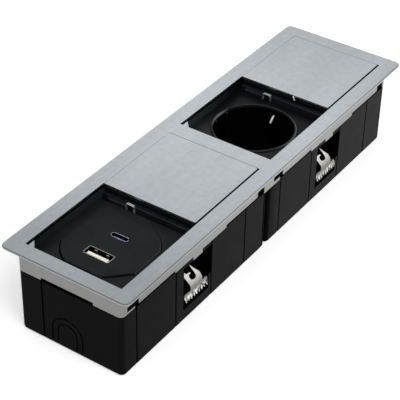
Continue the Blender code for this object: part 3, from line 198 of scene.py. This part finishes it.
def beside_lid(tree):
    """1 on the frame where it runs close along the left of a lid at rest, else 0."""
    fade = 0.2
    strips = []
    for lid in ("lid_plate_front", "lid_plate_rear"):
        low, high = corners(lid)
        strip = along(tree, "X", low[0] - fade / 2, low[0] - fade)
        for start, end in ((low[1], low[1] + fade), (high[1] + 2 * fade, high[1] + fade)):
            strip = add(tree, "Math", {0: strip, 1: along(tree, "Y", start, end)}, 0,
                        operation="MULTIPLY")
        strips.append(strip)
    return add(tree, "Math", {0: strips[0], 1: strips[1]}, 0, operation="ADD")


def upright_light_and_shade(tree, side, cut):
    """Tone of the upright faces: darker grey as painted shade, a painted highlight on the outer
    edge under its bevel, and pale painted light on the walls of the cut-outs.

    The outer edge is painted bright as a highlight, and its bevel as a painted reflection of the
    darker side of the room.
    """
    # Painted highlight on the outer edge, painted reflection on its bevel; the cut-outs' walls get
    # pale painted light
    edge = painted(tree, "BABAB8", (facing(tree, "Z", 0.1, 0.3), "888A8C"))
    above = along(tree, "Z", SHEET_BACK, SHEET_BACK + 0.1)
    return painted(tree, side, (above, edge), (cut, "C6CACC"))


def brushed_stainless(name, pale, deep, side_shade_tones, roughness):
    """Stainless sheet: fine brushed lines along the top, bent-down faces in a darker painted shade.

    Real brushing leaves scratches about 0.1 mm apart, drawn here at 0.35 mm so that they show.
    """
    material, tree = new_material(name)
    lines = grain(tree, 0.35, detail=3.0, stretch=(1.0, 0.02, 1.0))
    cloud = grain(tree, 3.0, detail=4.0, roughness=0.65)
    wide = grain(tree, 26.0, stretch=(1.0, 0.3, 1.0))
    fine = add(tree, "Math", {0: lines, 1: cloud}, 0, operation="ADD")
    whole = add(tree, "Math", {0: fine, 1: wide}, 0, operation="ADD")
    # The sum of the three patterns really varies between these two levels
    mottle = add(tree, "MapRange", {"Value": whole, "From Min": 1.15, "From Max": 1.85}, "Result")
    patches = add(tree, "MapRange", {"Value": cloud, **NOISE_RANGE}, "Result")
    top = painted(tree, deep, (mottle, pale))
    cut = within(tree, CUT_OUT_SIDE, CUT_OUT_END, SHEET_BACK)
    # The bent-down faces: darker grey tones as painted shade, then the edge's painted highlights
    side = upright_light_and_shade(tree, painted(tree, side_shade_tones[0], (patches, side_shade_tones[1])), cut)
    upward = facing(tree, "Z", 0.88, 0.99)
    # The cut edge that a lid runs along is painted light: made matt, not metallic, it takes
    # the lamps' light, so its narrow gap hardly shows
    lit_matt_edge = add(tree, "Math", {0: cut, 1: beside_lid(tree)}, 0, operation="MULTIPLY")
    lit_matt_edge = add(tree, "Math", {0: lit_matt_edge, 1: upward}, 0, operation="SUBTRACT")
    return finished(material, {
        "Base Color": room_light(tree, painted(tree, side, (upward, top))),
        "Metallic": add(tree, "MapRange", {"Value": lit_matt_edge, "To Min": 1.0, "To Max": 0.0},
                        "Result"),
        "Roughness": add(tree, "MapRange", {"Value": lines, **NOISE_RANGE,
                                            "To Min": roughness - 0.06,
                                            "To Max": roughness + 0.08}, "Result"),
        "Normal": add(tree, "Bump", {"Height": lines, "Distance": 0.004 * MM, "Strength": 1.0}, 0),
    })


def sunk_in_shade(tree, tone, shade):
    """A housing's tone, shaded in grooves and pockets, at the far corners, the gap and the foot."""
    foot_low, foot_high = 0.7, 1.9
    corner = painted(tree, tone, (facing(tree, "Y", 0.1, 0.5), shade))
    tone = painted(tree, corner, (facing(tree, "Y", 0.93, 0.99), tone))
    before = along(tree, "Y", GAP_FRONT - 3.0, GAP_FRONT + 0.5)
    after = along(tree, "Y", GAP_REAR + 7.4, GAP_REAR + 0.4)
    gap = add(tree, "Math", {0: before, 1: after}, 0, operation="MULTIPLY")
    behind_sides = within(tree, HOUSING_SIDE - GROOVE_DEPTH, HOUSING_END - HOUSING_CORNER, 0.0)
    behind_ends = within(tree, HOUSING_SIDE - HOUSING_CORNER, HOUSING_END - GROOVE_DEPTH, 0.0)
    tone = painted(tree, tone, (gap, shade), (behind_sides, shade), (behind_ends, shade))
    return shade_below(tree, tone, foot_low, foot_high, shade)


def recess_wall_sheen(tree, tone, deep, wall_sheen):
    """A housing's tone with a painted sheen on its walls inside the cut-outs, fullest past the
    middle.
    """
    wall_foot = HEIGHT - 9.0
    grows = along(tree, "Y", -1.3 * FRAME_END, 10.0)
    fades = along(tree, "Y", 12.0, 50.0)
    wall = painted(tree, deep, (grows, wall_sheen), (fades, deep))
    return painted(tree, tone, (within(tree, CUT_OUT_SIDE, PAST_ENDS, wall_foot), wall))


def moulded_black(name, pale, deep, roughness, gloss, texture, shade_heights=None, far_light_and_shade=None, sunk=None,
                  wall_sheen=None, rim=None, bevel_highlight=None):
    """Black ABS moulding: a spark-eroded tool leaves a fine pebble that breaks up the gloss.

    The real pebble is about 0.1 mm across, so texture draws it a few times coarser to show.
    The further tones are painted light and shade: one that sets in and is full between two places
    along Y, the shade of grooves, pockets, far corners, the foot and the gap between two housings,
    a sheen on the recess walls, a highlight on a raised rim, and a highlight on bevels, except on
    those turned towards the front.
    """
    material, tree = new_material(name)
    pebble = grain(tree, texture)
    cloud = grain(tree, 9.0, detail=3.0)
    patches = add(tree, "MapRange", {"Value": cloud, **NOISE_RANGE}, "Result")
    tone = painted(tree, deep, (patches, pale))
    # A tone that grows along Y: painted light and shade
    if far_light_and_shade:
        far_painted_tone, start, end = far_light_and_shade
        tone = painted(tree, tone, (along(tree, "Y", start, end), far_painted_tone))
    if sunk:
        tone = sunk_in_shade(tree, tone, sunk)
    # Painted sheen on the walls of the recesses
    if wall_sheen:
        tone = recess_wall_sheen(tree, tone, deep, wall_sheen)
    # Painted highlight on the raised rim
    if rim:
        raised = along(tree, "Z", SOCKET_FACE + 0.05, SOCKET_FACE + 0.25)
        tone = painted(tree, tone, (raised, rim))
    # Painted highlight on bevels, except those turned towards the front
    if bevel_highlight:
        bevel = painted(tree, deep, (facing(tree, "Y", -0.35, 0.0), bevel_highlight))
        tone = painted(tree, bevel, (facing(tree, "Z", 0.6, 0.97), tone))
    # Painted shade, falling to near black below the given heights
    if shade_heights:
        tone = shade_below(tree, tone, *shade_heights, deep="020202")
    both = add(tree, "Math", {0: pebble, 1: cloud}, 0, operation="ADD")
    return finished(material, {
        "Base Color": tone,
        "IOR": 1.5,
        "Specular IOR Level": gloss,
        "Roughness": add(tree, "MapRange", {"Value": both, "From Min": 0.8, "From Max": 1.2,
                                            "To Min": roughness - 0.05,
                                            "To Max": roughness + 0.07}, "Result"),
        "Normal": add(tree, "Bump", {"Height": pebble, "Distance": 0.012 * MM,
                                     "Strength": 1.0}, 0),
    })


def claw_foot_light_and_shade(tree, tone, foot):
    """A claw's tone, painted darker along its neck as shade, and below the fold painted
    in bright and dark streaks as highlight and shade.
    """
    streaks = grain(tree, 0.5, roughness=0.6, stretch=(0.3, 1.0, 0.3))
    crisp = add(tree, "MapRange", {"Value": streaks, "From Min": 0.44, "From Max": 0.56}, "Result")
    streaked_light_and_shade = painted(tree, "2A2926", (crisp, "FAF9F5"))
    tone = painted(tree, "7E7D78", (along(tree, "Z", foot + 1.6, foot + 6.0), tone))
    return painted(tree, streaked_light_and_shade, (along(tree, "Z", foot - 0.6, foot + 0.6), tone))


def plated_sheet(name, pale, deep, roughness, speckle, side=None, shade_heights=None, foot=None,
                 lit_half_width=None, haze=0.0):
    """Plated pressing: soft cloudy bloom in the plate, burnished rubs, upright faces in painted
    shade.

    speckle is the size of the bloom's patches, side the tone of upright faces, painted as shade,
    foot the height of a fold under which the sheet is painted in streaks of highlight and shade,
    the lit half width that of a strip's middle, outside which the strip is painted dark as shade,
    and haze the share of a dull film that takes the lamps' light.
    """
    material, tree = new_material(name)
    bloom = grain(tree, speckle, detail=4.0, roughness=0.6)
    rubs = grain(tree, 0.6, stretch=(0.25, 1.0, 1.0))
    patches = add(tree, "MapRange", {"Value": bloom, **NOISE_RANGE}, "Result")
    tone = painted(tree, deep, (patches, pale))
    # Upright faces painted darker, as shade
    if side:
        crisp = add(tree, "MapRange", {"Value": rubs, "From Min": 0.35, "From Max": 0.65}, "Result")
        upright = painted(tree, side, (crisp, deep))
        tone = painted(tree, upright, (facing(tree, "Z", 0.15, 0.75), tone))
    # Below the claw's fold, painted streaks of highlight and shade, and painted shade along its
    # neck
    if foot:
        tone = claw_foot_light_and_shade(tree, tone, foot)
    # The strip's sides painted dark as shade, its middle left bright as lit
    if lit_half_width:
        tone = painted(tree, "2E2C28", (within(tree, lit_half_width, PAST_ENDS, 0.0), tone))
    # Painted shade, falling to near black below the given heights
    if shade_heights:
        tone = shade_below(tree, tone, *shade_heights)
    return finished(material, {
        "Base Color": tone,
        "Metallic": 1.0 - haze,
        "Roughness": add(tree, "MapRange", {"Value": rubs, **NOISE_RANGE,
                                            "To Min": roughness - 0.08,
                                            "To Max": roughness + 0.12}, "Result"),
        "Normal": add(tree, "Bump", {"Height": bloom, "Distance": 0.006 * MM, "Strength": 1.0}, 0),
    })


def moulded_nylon(name, pale, deep, roughness, shade_heights=None):
    """Small nylon moulding: milky, with faint flow marks 1.6 mm apart from its gate."""
    material, tree = new_material(name)
    flow = grain(tree, 1.6, detail=3.0, stretch=(1.0, 0.3, 0.3))
    marks = add(tree, "MapRange", {"Value": flow, **NOISE_RANGE}, "Result")
    tone = painted(tree, deep, (marks, pale))
    # Painted shade, falling to near black below the given heights
    if shade_heights:
        tone = shade_below(tree, tone, *shade_heights)
    return finished(material, {
        "Base Color": tone,
        "IOR": 1.53,
        "Subsurface Weight": 0.05,
        "Subsurface Radius": [depth * MM for depth in (1.2, 1.0, 0.8)],
        "Roughness": add(tree, "MapRange", {"Value": flow, **NOISE_RANGE,
                                            "To Min": roughness - 0.05,
                                            "To Max": roughness + 0.07}, "Result"),
        "Normal": add(tree, "Bump", {"Height": flow, "Distance": 0.004 * MM, "Strength": 1.0}, 0),
    })


def board_laminate():
    """Glass-fibre laminate under green solder lacquer: the weave shows as a fine check.

    Its threads lie 0.83 mm apart, as in a coarse glass cloth.
    """
    material, tree = new_material("board_laminate")
    thread = 0.83
    weave = add(tree, "TexChecker", {"Vector": place_in_mm(tree), "Scale": 1.0 / thread}, "Fac")
    cloud = grain(tree, 4.0)
    both = add(tree, "Math", {0: weave, 1: cloud}, 0, operation="ADD")
    check = add(tree, "MapRange", {"Value": both, "From Min": 0.2, "From Max": 1.5}, "Result")
    return finished(material, {
        "Base Color": painted(tree, "0B3A1C", (check, "145A2C")),
        "IOR": 1.55,
        "Coat Weight": 0.3,
        "Roughness": add(tree, "MapRange", {"Value": cloud, **NOISE_RANGE, "To Min": 0.3,
                                            "To Max": 0.45}, "Result"),
    })


def wound_film(name, pale, deep):
    """Polyester film wrapped round a part: shallow turns, 2.6 mm apart, that overlap."""
    material, tree = new_material(name)
    turn = 2.6
    # At a scale of 1 the wave pattern has 20 bands in each length of tau
    scale = math.tau / (20.0 * turn)
    turns = add(tree, "TexWave", {"Vector": place_in_mm(tree), "Scale": scale, "Distortion": 0.6},
                "Fac", wave_type="BANDS", bands_direction="Z")
    return finished(material, {
        "Base Color": painted(tree, deep, (turns, pale)),
        "IOR": 1.6,
        "Coat Weight": 0.2,
        "Roughness": add(tree, "MapRange", {"Value": turns, "To Min": 0.28, "To Max": 0.42},
                         "Result"),
        "Normal": add(tree, "Bump", {"Height": turns, "Distance": 0.01 * MM, "Strength": 1.0}, 0),
    })


FINISHES = {
    # The steel's side tones are darker: painted shade on the bent-down faces
    "brushed_steel": brushed_stainless("brushed_stainless_plate", "C8CFD3", "B5BBBF",
                                       side_shade_tones=("9B9B9A", "A3A2A1"), roughness=0.34),
    # Housings: painted light towards the rear end, painted shade in grooves, pockets, the gap and
    # the foot, and a painted sheen on the recess walls
    "black_housing": moulded_black("moulded_abs_housing", "101010", "0C0C0C", roughness=0.5,
                                   gloss=0.015, texture=0.5, sunk="040404", wall_sheen="283133",
                                   far_light_and_shade=("2D2D2D", -HOUSING_END, HOUSING_END)),
    "black_face": moulded_black("satin_abs_face", "1B1C1E", "131416", roughness=0.4, gloss=0.07,
                                texture=0.35),
    # The spring's upright faces painted dark as shade
    "bright_steel": plated_sheet("bright_spring_steel", "F2F2F0", "D8D8D6", roughness=0.2,
                                 speckle=2.0, side="2A2A28", haze=0.3),
    # Claws: upright faces painted darker as shade, streaks of painted highlight and shade under the
    # fold
    "zinc_plated": plated_sheet("zinc_plated_sheet", "EDEBE4", "D6D4CC", roughness=0.3,
                                speckle=1.2, side="5F5E59", foot=CLAW_FOOT),
    # The earth strap: its sides painted dark as shade, and painted shade low down in the well
    "nickel_plated": plated_sheet("nickel_plated_brass", "E2DED4", "BDB8AC", roughness=0.22,
                                  speckle=2.0, shade_heights=(SOCKET_FACE - 6.7, SOCKET_FACE - 3.7),
                                  lit_half_width=0.45),
    "brass": plated_sheet("plain_brass", "D2AE66", "B08C48", roughness=0.28, speckle=2.0),
    # The tongues fall to painted shade low in their ports
    "cream_nylon": moulded_nylon("cream_nylon_tongue", "EFE9DA", "DDD4C2", roughness=0.42,
                                 shade_heights=(PORT_TOP - 3.25, PORT_TOP - 1.25)),
    "blue_nylon": moulded_nylon("blue_nylon_tongue", "3A5CB4", "2A4590", roughness=0.38,
                                shade_heights=(PORT_TOP - 2.65, PORT_TOP - 1.35)),
    "white_nylon": moulded_nylon("white_nylon_block", "DEDEDA", "CFCFCA", roughness=0.5),
    "board_laminate": board_laminate(),
    "winding_tape": wound_film("winding_tape", "E8BE3C", "D3A628"),
    "capacitor_sleeve": wound_film("capacitor_sleeve", "2A3050", "1E2440"),
}
# Finishes of single pieces, where their slot's common one would not do
OWN_FINISH = {
    # The shells are painted dark just under their tops, as shade inside the ports
    "usb_a_shell": plated_sheet("port_shell_tin", "BDBBB4", "9C9A93", roughness=0.28,
                                speckle=1.0, shade_heights=(PORT_TOP - 0.5, PORT_TOP)),
    "usb_c_shell": plated_sheet("port_shell_steel", "C6C6C2", "2E2E2C", roughness=0.28,
                                speckle=0.9, shade_heights=(PORT_TOP - 0.5, PORT_TOP)),
    # The centre's bevels carry a painted highlight
    "usb_centre": moulded_black("satin_abs_centre", "1A1B1D", "121314", roughness=0.4,
                                gloss=0.07, texture=0.35, bevel_highlight="45474C"),
    # The socket's face is painted darker towards the rear as shade, with painted highlights on its
    # ring and bevels and painted shade down its well
    "socket_insert": moulded_black("gloss_abs_socket", "232527", "1B1D1F", roughness=0.27,
                                   gloss=0.06, texture=0.6, rim="26272A", bevel_highlight="84868A",
                                   far_light_and_shade=("0A0B0D", 10.0, 40.0),
                                   shade_heights=(SOCKET_FACE - 1.0, SOCKET_FACE + 0.1)),
    "deck_front": moulded_black("gloss_abs_deck", "1E1F24", "17181C", roughness=0.25, gloss=0.2,
                                texture=0.8),
}
OWN_FINISH["deck_rear"] = OWN_FINISH["deck_front"]


def finish_of(node):
    """The material of a solid: its own one, or the common one of its slot."""
    return OWN_FINISH.get(node, FINISHES[slot_of[node]])


# Edge radius that each finished piece gets where the solid has a plain edge
EDGES = {
    "top_frame": 0.18,
    "housing_front": 0.12,
    "housing_rear": 0.12,
    "lid_plate_front": 0.06,
    "lid_plate_rear": 0.06,
    "lid_carrier_front": 0.2,
    "lid_carrier_rear": 0.2,
    "deck_front": 0.35,
    "deck_rear": 0.35,
    "detent_spring_front": 0.08,
    "detent_spring_rear": 0.08,
    "claw_front_left": 0.12,
    "claw_front_right": 0.12,
    "claw_rear_left": 0.12,
    "claw_rear_right": 0.12,
    "usb_surround": 0.2,
    "usb_centre": 0.15,
    "usb_a_shell": 0.1,
    "usb_a_tongue": 0.15,
    "usb_c_shell": 0.1,
    "usb_c_tongue": 0.1,
    "socket_insert": 0.2,
    "earth_strap": 0.38,
}
# How near two corners are one, and turns between faces: below the first they are one flat face,
# past the second their edge is rounded, and past the third its shading breaks
ONE_POINT = 0.001
FLAT_TURN = math.radians(1.0)
ROUNDED_TURN = math.radians(40.0)
SHARP_TURN = math.radians(50.0)


def edged_copy(node):
    """The node's own form with its plain edges rounded, to stand in for the solid."""
    source = frame["nodes"][node]
    mesh = source.data.copy()
    shape = bmesh.new()
    shape.from_mesh(mesh)
    bmesh.ops.remove_doubles(shape, verts=shape.verts, dist=ONE_POINT * MM)
    bmesh.ops.dissolve_limit(shape, angle_limit=FLAT_TURN, verts=shape.verts, edges=shape.edges)
    shape.to_mesh(mesh)
    shape.free()
    mesh.materials.clear()
    piece = bpy.data.objects.new(node + "_finished", mesh)
    bpy.context.scene.collection.objects.link(piece)
    bevel = piece.modifiers.new("edge_radius", "BEVEL")
    bevel.width = EDGES[node] * MM
    bevel.segments = 2
    bevel.limit_method = "ANGLE"
    bevel.angle_limit = ROUNDED_TURN
    mesh.shade_smooth()
    mesh.set_sharp_from_angle(angle=SHARP_TURN)
    piece.modifiers.new("flat_faces_stay_flat", "WEIGHTED_NORMAL").keep_sharp = True
    piece.data.materials.append(finish_of(node))
    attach(piece, body_of[node])
    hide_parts(node)


def small_box(name, x_range, y_range, z_range, radius, body, material, lean=(0.0, 0.0)):
    """A small block with rounded edges, riding on a body; lean shifts its foot along X and Y."""
    shape = bmesh.new()
    bmesh.ops.create_cube(shape, size=1.0)
    for vertex in shape.verts:
        for axis, (low, high) in enumerate((x_range, y_range, z_range)):
            vertex.co[axis] = (low + (vertex.co[axis] + 0.5) * (high - low)) * MM
        if vertex.co.z < sum(z_range) / 2 * MM:
            vertex.co.x += lean[0] * MM
            vertex.co.y += lean[1] * MM
    mesh = bpy.data.meshes.new(name)
    shape.to_mesh(mesh)
    shape.free()
    mesh.shade_smooth()
    piece = bpy.data.objects.new(name, mesh)
    bpy.context.scene.collection.objects.link(piece)
    bevel = piece.modifiers.new("edge_radius", "BEVEL")
    bevel.width = radius * MM
    bevel.segments = 2
    piece.modifiers.new("flat_faces_stay_flat", "WEIGHTED_NORMAL")
    mesh.materials.append(material)
    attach(piece, body)


def port_fingers():
    """Two grounding fingers on the far wall of the wide port's shell."""
    half_width = 0.8
    wall = 0.3
    radius = 0.2
    low, high = corners("usb_a_shell")
    back = high[1] - wall
    depth = (back - 0.75, back - 0.1)
    rise = (high[2] - 4.2, high[2] - 0.55)
    steel = plated_sheet("port_finger_steel", "A5A299", "85827A", roughness=0.35, speckle=0.6)
    for number, share in enumerate((0.27, 0.73)):
        x = low[0] + share * (high[0] - low[0])
        small_box("port_finger_" + str(number + 1), (x - half_width, x + half_width), depth, rise,
                  radius, "module", steel)


def port_contacts():
    """Four gold contacts on the far side of the wide port's tongue."""
    count = 4
    half_width = 0.5
    radius = 0.04
    low, high = corners("usb_a_tongue")
    pitch = (high[0] - low[0]) / (count + 0.4)
    middle = (low[0] + high[0]) / 2
    depth = (high[1] + 0.02, high[1] + 0.14)
    rise = (high[2] - 7.5, high[2] - 0.9)
    for number in range(count):
        x = middle + (number - (count - 1) / 2) * pitch
        small_box("port_contact_" + str(number + 1), (x - half_width, x + half_width), depth, rise,
                  radius, "module", FINISHES["brass"])


def lid_tick():
    """Small bent tab under the front edge of the rear lid's sheet, right of the middle."""
    low, high = corners("lid_plate_rear")
    width = (4.5, 5.3)
    depth = (low[1] - 0.3, low[1] - 0.03)
    rise = (high[2] - 1.8, high[2] - 0.5)
    radius = 0.08
    small_box("lid_tick", width, depth, rise, radius, "lid_rear",
              FINISHES["brushed_steel"], lean=(1.6, -1.5))


# Strength at which the white surround lights the object, and at which it shows
SURROUND_LIGHT = 0.42
SURROUND_WHITE = 1.0
# Half the floor's width, and how far it lies under the part
FLOOR_HALF = 3000.0
FLOOR_DROP = 0.2
# The floor's own glow near the object and far from it, and the distances between which it grows
GLOW_NEAR = 0.35
GLOW_FAR = 0.68
GLOW_START = 300.0
GLOW_END = 1200.0
# Name of each soft lamp, its place and width in metres, and its watts
LAMPS = (
    ("key", (0.9, -0.35, 1.1), 1.3, 14.0),
    ("fill", (-0.9, -0.5, 1.0), 1.2, 5.0),
    ("rim", (0.9, 1.0, 0.9), 1.0, 4.0),
)


def sees_surround(tree):
    """1 for rays that show the white surround: the camera's, and those off metal or in glass."""
    path = add(tree, "LightPath")
    seen = add(tree, "Math", {0: path.outputs["Is Camera Ray"],
                              1: path.outputs["Is Transmission Ray"]}, 0, operation="MAXIMUM")
    return add(tree, "Math", {0: seen, 1: path.outputs["Is Glossy Ray"]}, 0,
               operation="MAXIMUM")


def white_surround():
    """White world that shows at full strength and lights the object at less."""
    world = bpy.data.worlds.new("studio")
    bpy.context.scene.world = world
    world.use_nodes = True
    tree = world.node_tree
    tree.nodes.clear()
    strength = add(tree, "MapRange", {"Value": sees_surround(tree), "To Min": SURROUND_LIGHT,
                                      "To Max": SURROUND_WHITE}, "Result")
    back = add(tree, "Background", {"Color": "FFFFFF", "Strength": strength}, 0)
    add(tree, "OutputWorld", {"Surface": back})


def pale_floor():
    """Matt painted floor, just under the part, that keeps its shadow and fades to white."""
    floor = bpy.data.objects.new("floor", bpy.data.meshes.new("floor"))
    shape = bmesh.new()
    bmesh.ops.create_grid(shape, x_segments=1, y_segments=1, size=FLOOR_HALF * MM)
    shape.to_mesh(floor.data)
    shape.free()
    floor.location.z = -FLOOR_DROP * MM
    bpy.context.scene.collection.objects.link(floor)
    material, tree = new_material("pale_floor")
    matt = add(tree, "BsdfDiffuse", {"Color": "EDEDED"}, 0)
    spot = add(tree, "TexCoord", out="Object")
    away = add(tree, "VectorMath", {0: spot}, "Value", operation="LENGTH")
    strength = add(tree, "MapRange", {"Value": away, "From Min": GLOW_START * MM,
                                      "From Max": GLOW_END * MM, "To Min": GLOW_NEAR,
                                      "To Max": GLOW_FAR}, "Result")
    glow = add(tree, "Emission", {"Color": "FFFFFF", "Strength": strength}, 0)
    lit = add(tree, "AddShader", {0: matt, 1: glow}, 0)
    both = add(tree, "MixShader", {0: sees_surround(tree), 1: matt, 2: lit}, 0)
    add(tree, "OutputMaterial", {"Surface": both})
    floor.data.materials.append(material)


def soft_lamps():
    """Round soft lamps at a plain level, all turned to the part's middle."""
    for name, place, width, power in LAMPS:
        lamp = bpy.data.lights.new(name, "AREA")
        lamp.shape = "DISK"
        lamp.size = width
        lamp.energy = power
        item = bpy.data.objects.new(name, lamp)
        item.location = place
        # The steel mirrors the white surround, and no lamp burns out its brushed lines
        item.visible_glossy = False
        item.rotation_euler = (-Vector(place)).to_track_quat("-Z", "Y").to_euler()
        bpy.context.scene.collection.objects.link(item)


def camera():
    """Camera at the photograph's place, worked out from the frame's straight edges."""
    data = bpy.data.cameras.new("camera")
    data.sensor_width = 36.0
    data.lens = 124.33
    data.clip_start = 10.0 * MM
    item = bpy.data.objects.new("camera", data)
    bpy.context.scene.collection.objects.link(item)
    right = Vector((0.82388, 0.56642, 0.01895)).normalized()
    back = Vector((0.44586, -0.66843, 0.5953)).normalized()
    up = back.cross(right).normalized()
    turn = Matrix((right, up, back)).transposed().to_4x4()
    place = Vector((283.7, -440.5, HEIGHT + 356.6)) * MM
    item.matrix_world = Matrix.Translation(place) @ turn
    bpy.context.scene.camera = item


for node, item in frame["nodes"].items():
    item.data.materials.clear()
    item.data.materials.append(finish_of(node))
for node in EDGES:
    edged_copy(node)
port_fingers()
port_contacts()
lid_tick()
white_surround()
pale_floor()
soft_lamps()
camera()
bpy.context.scene.view_settings.view_transform = "Standard"
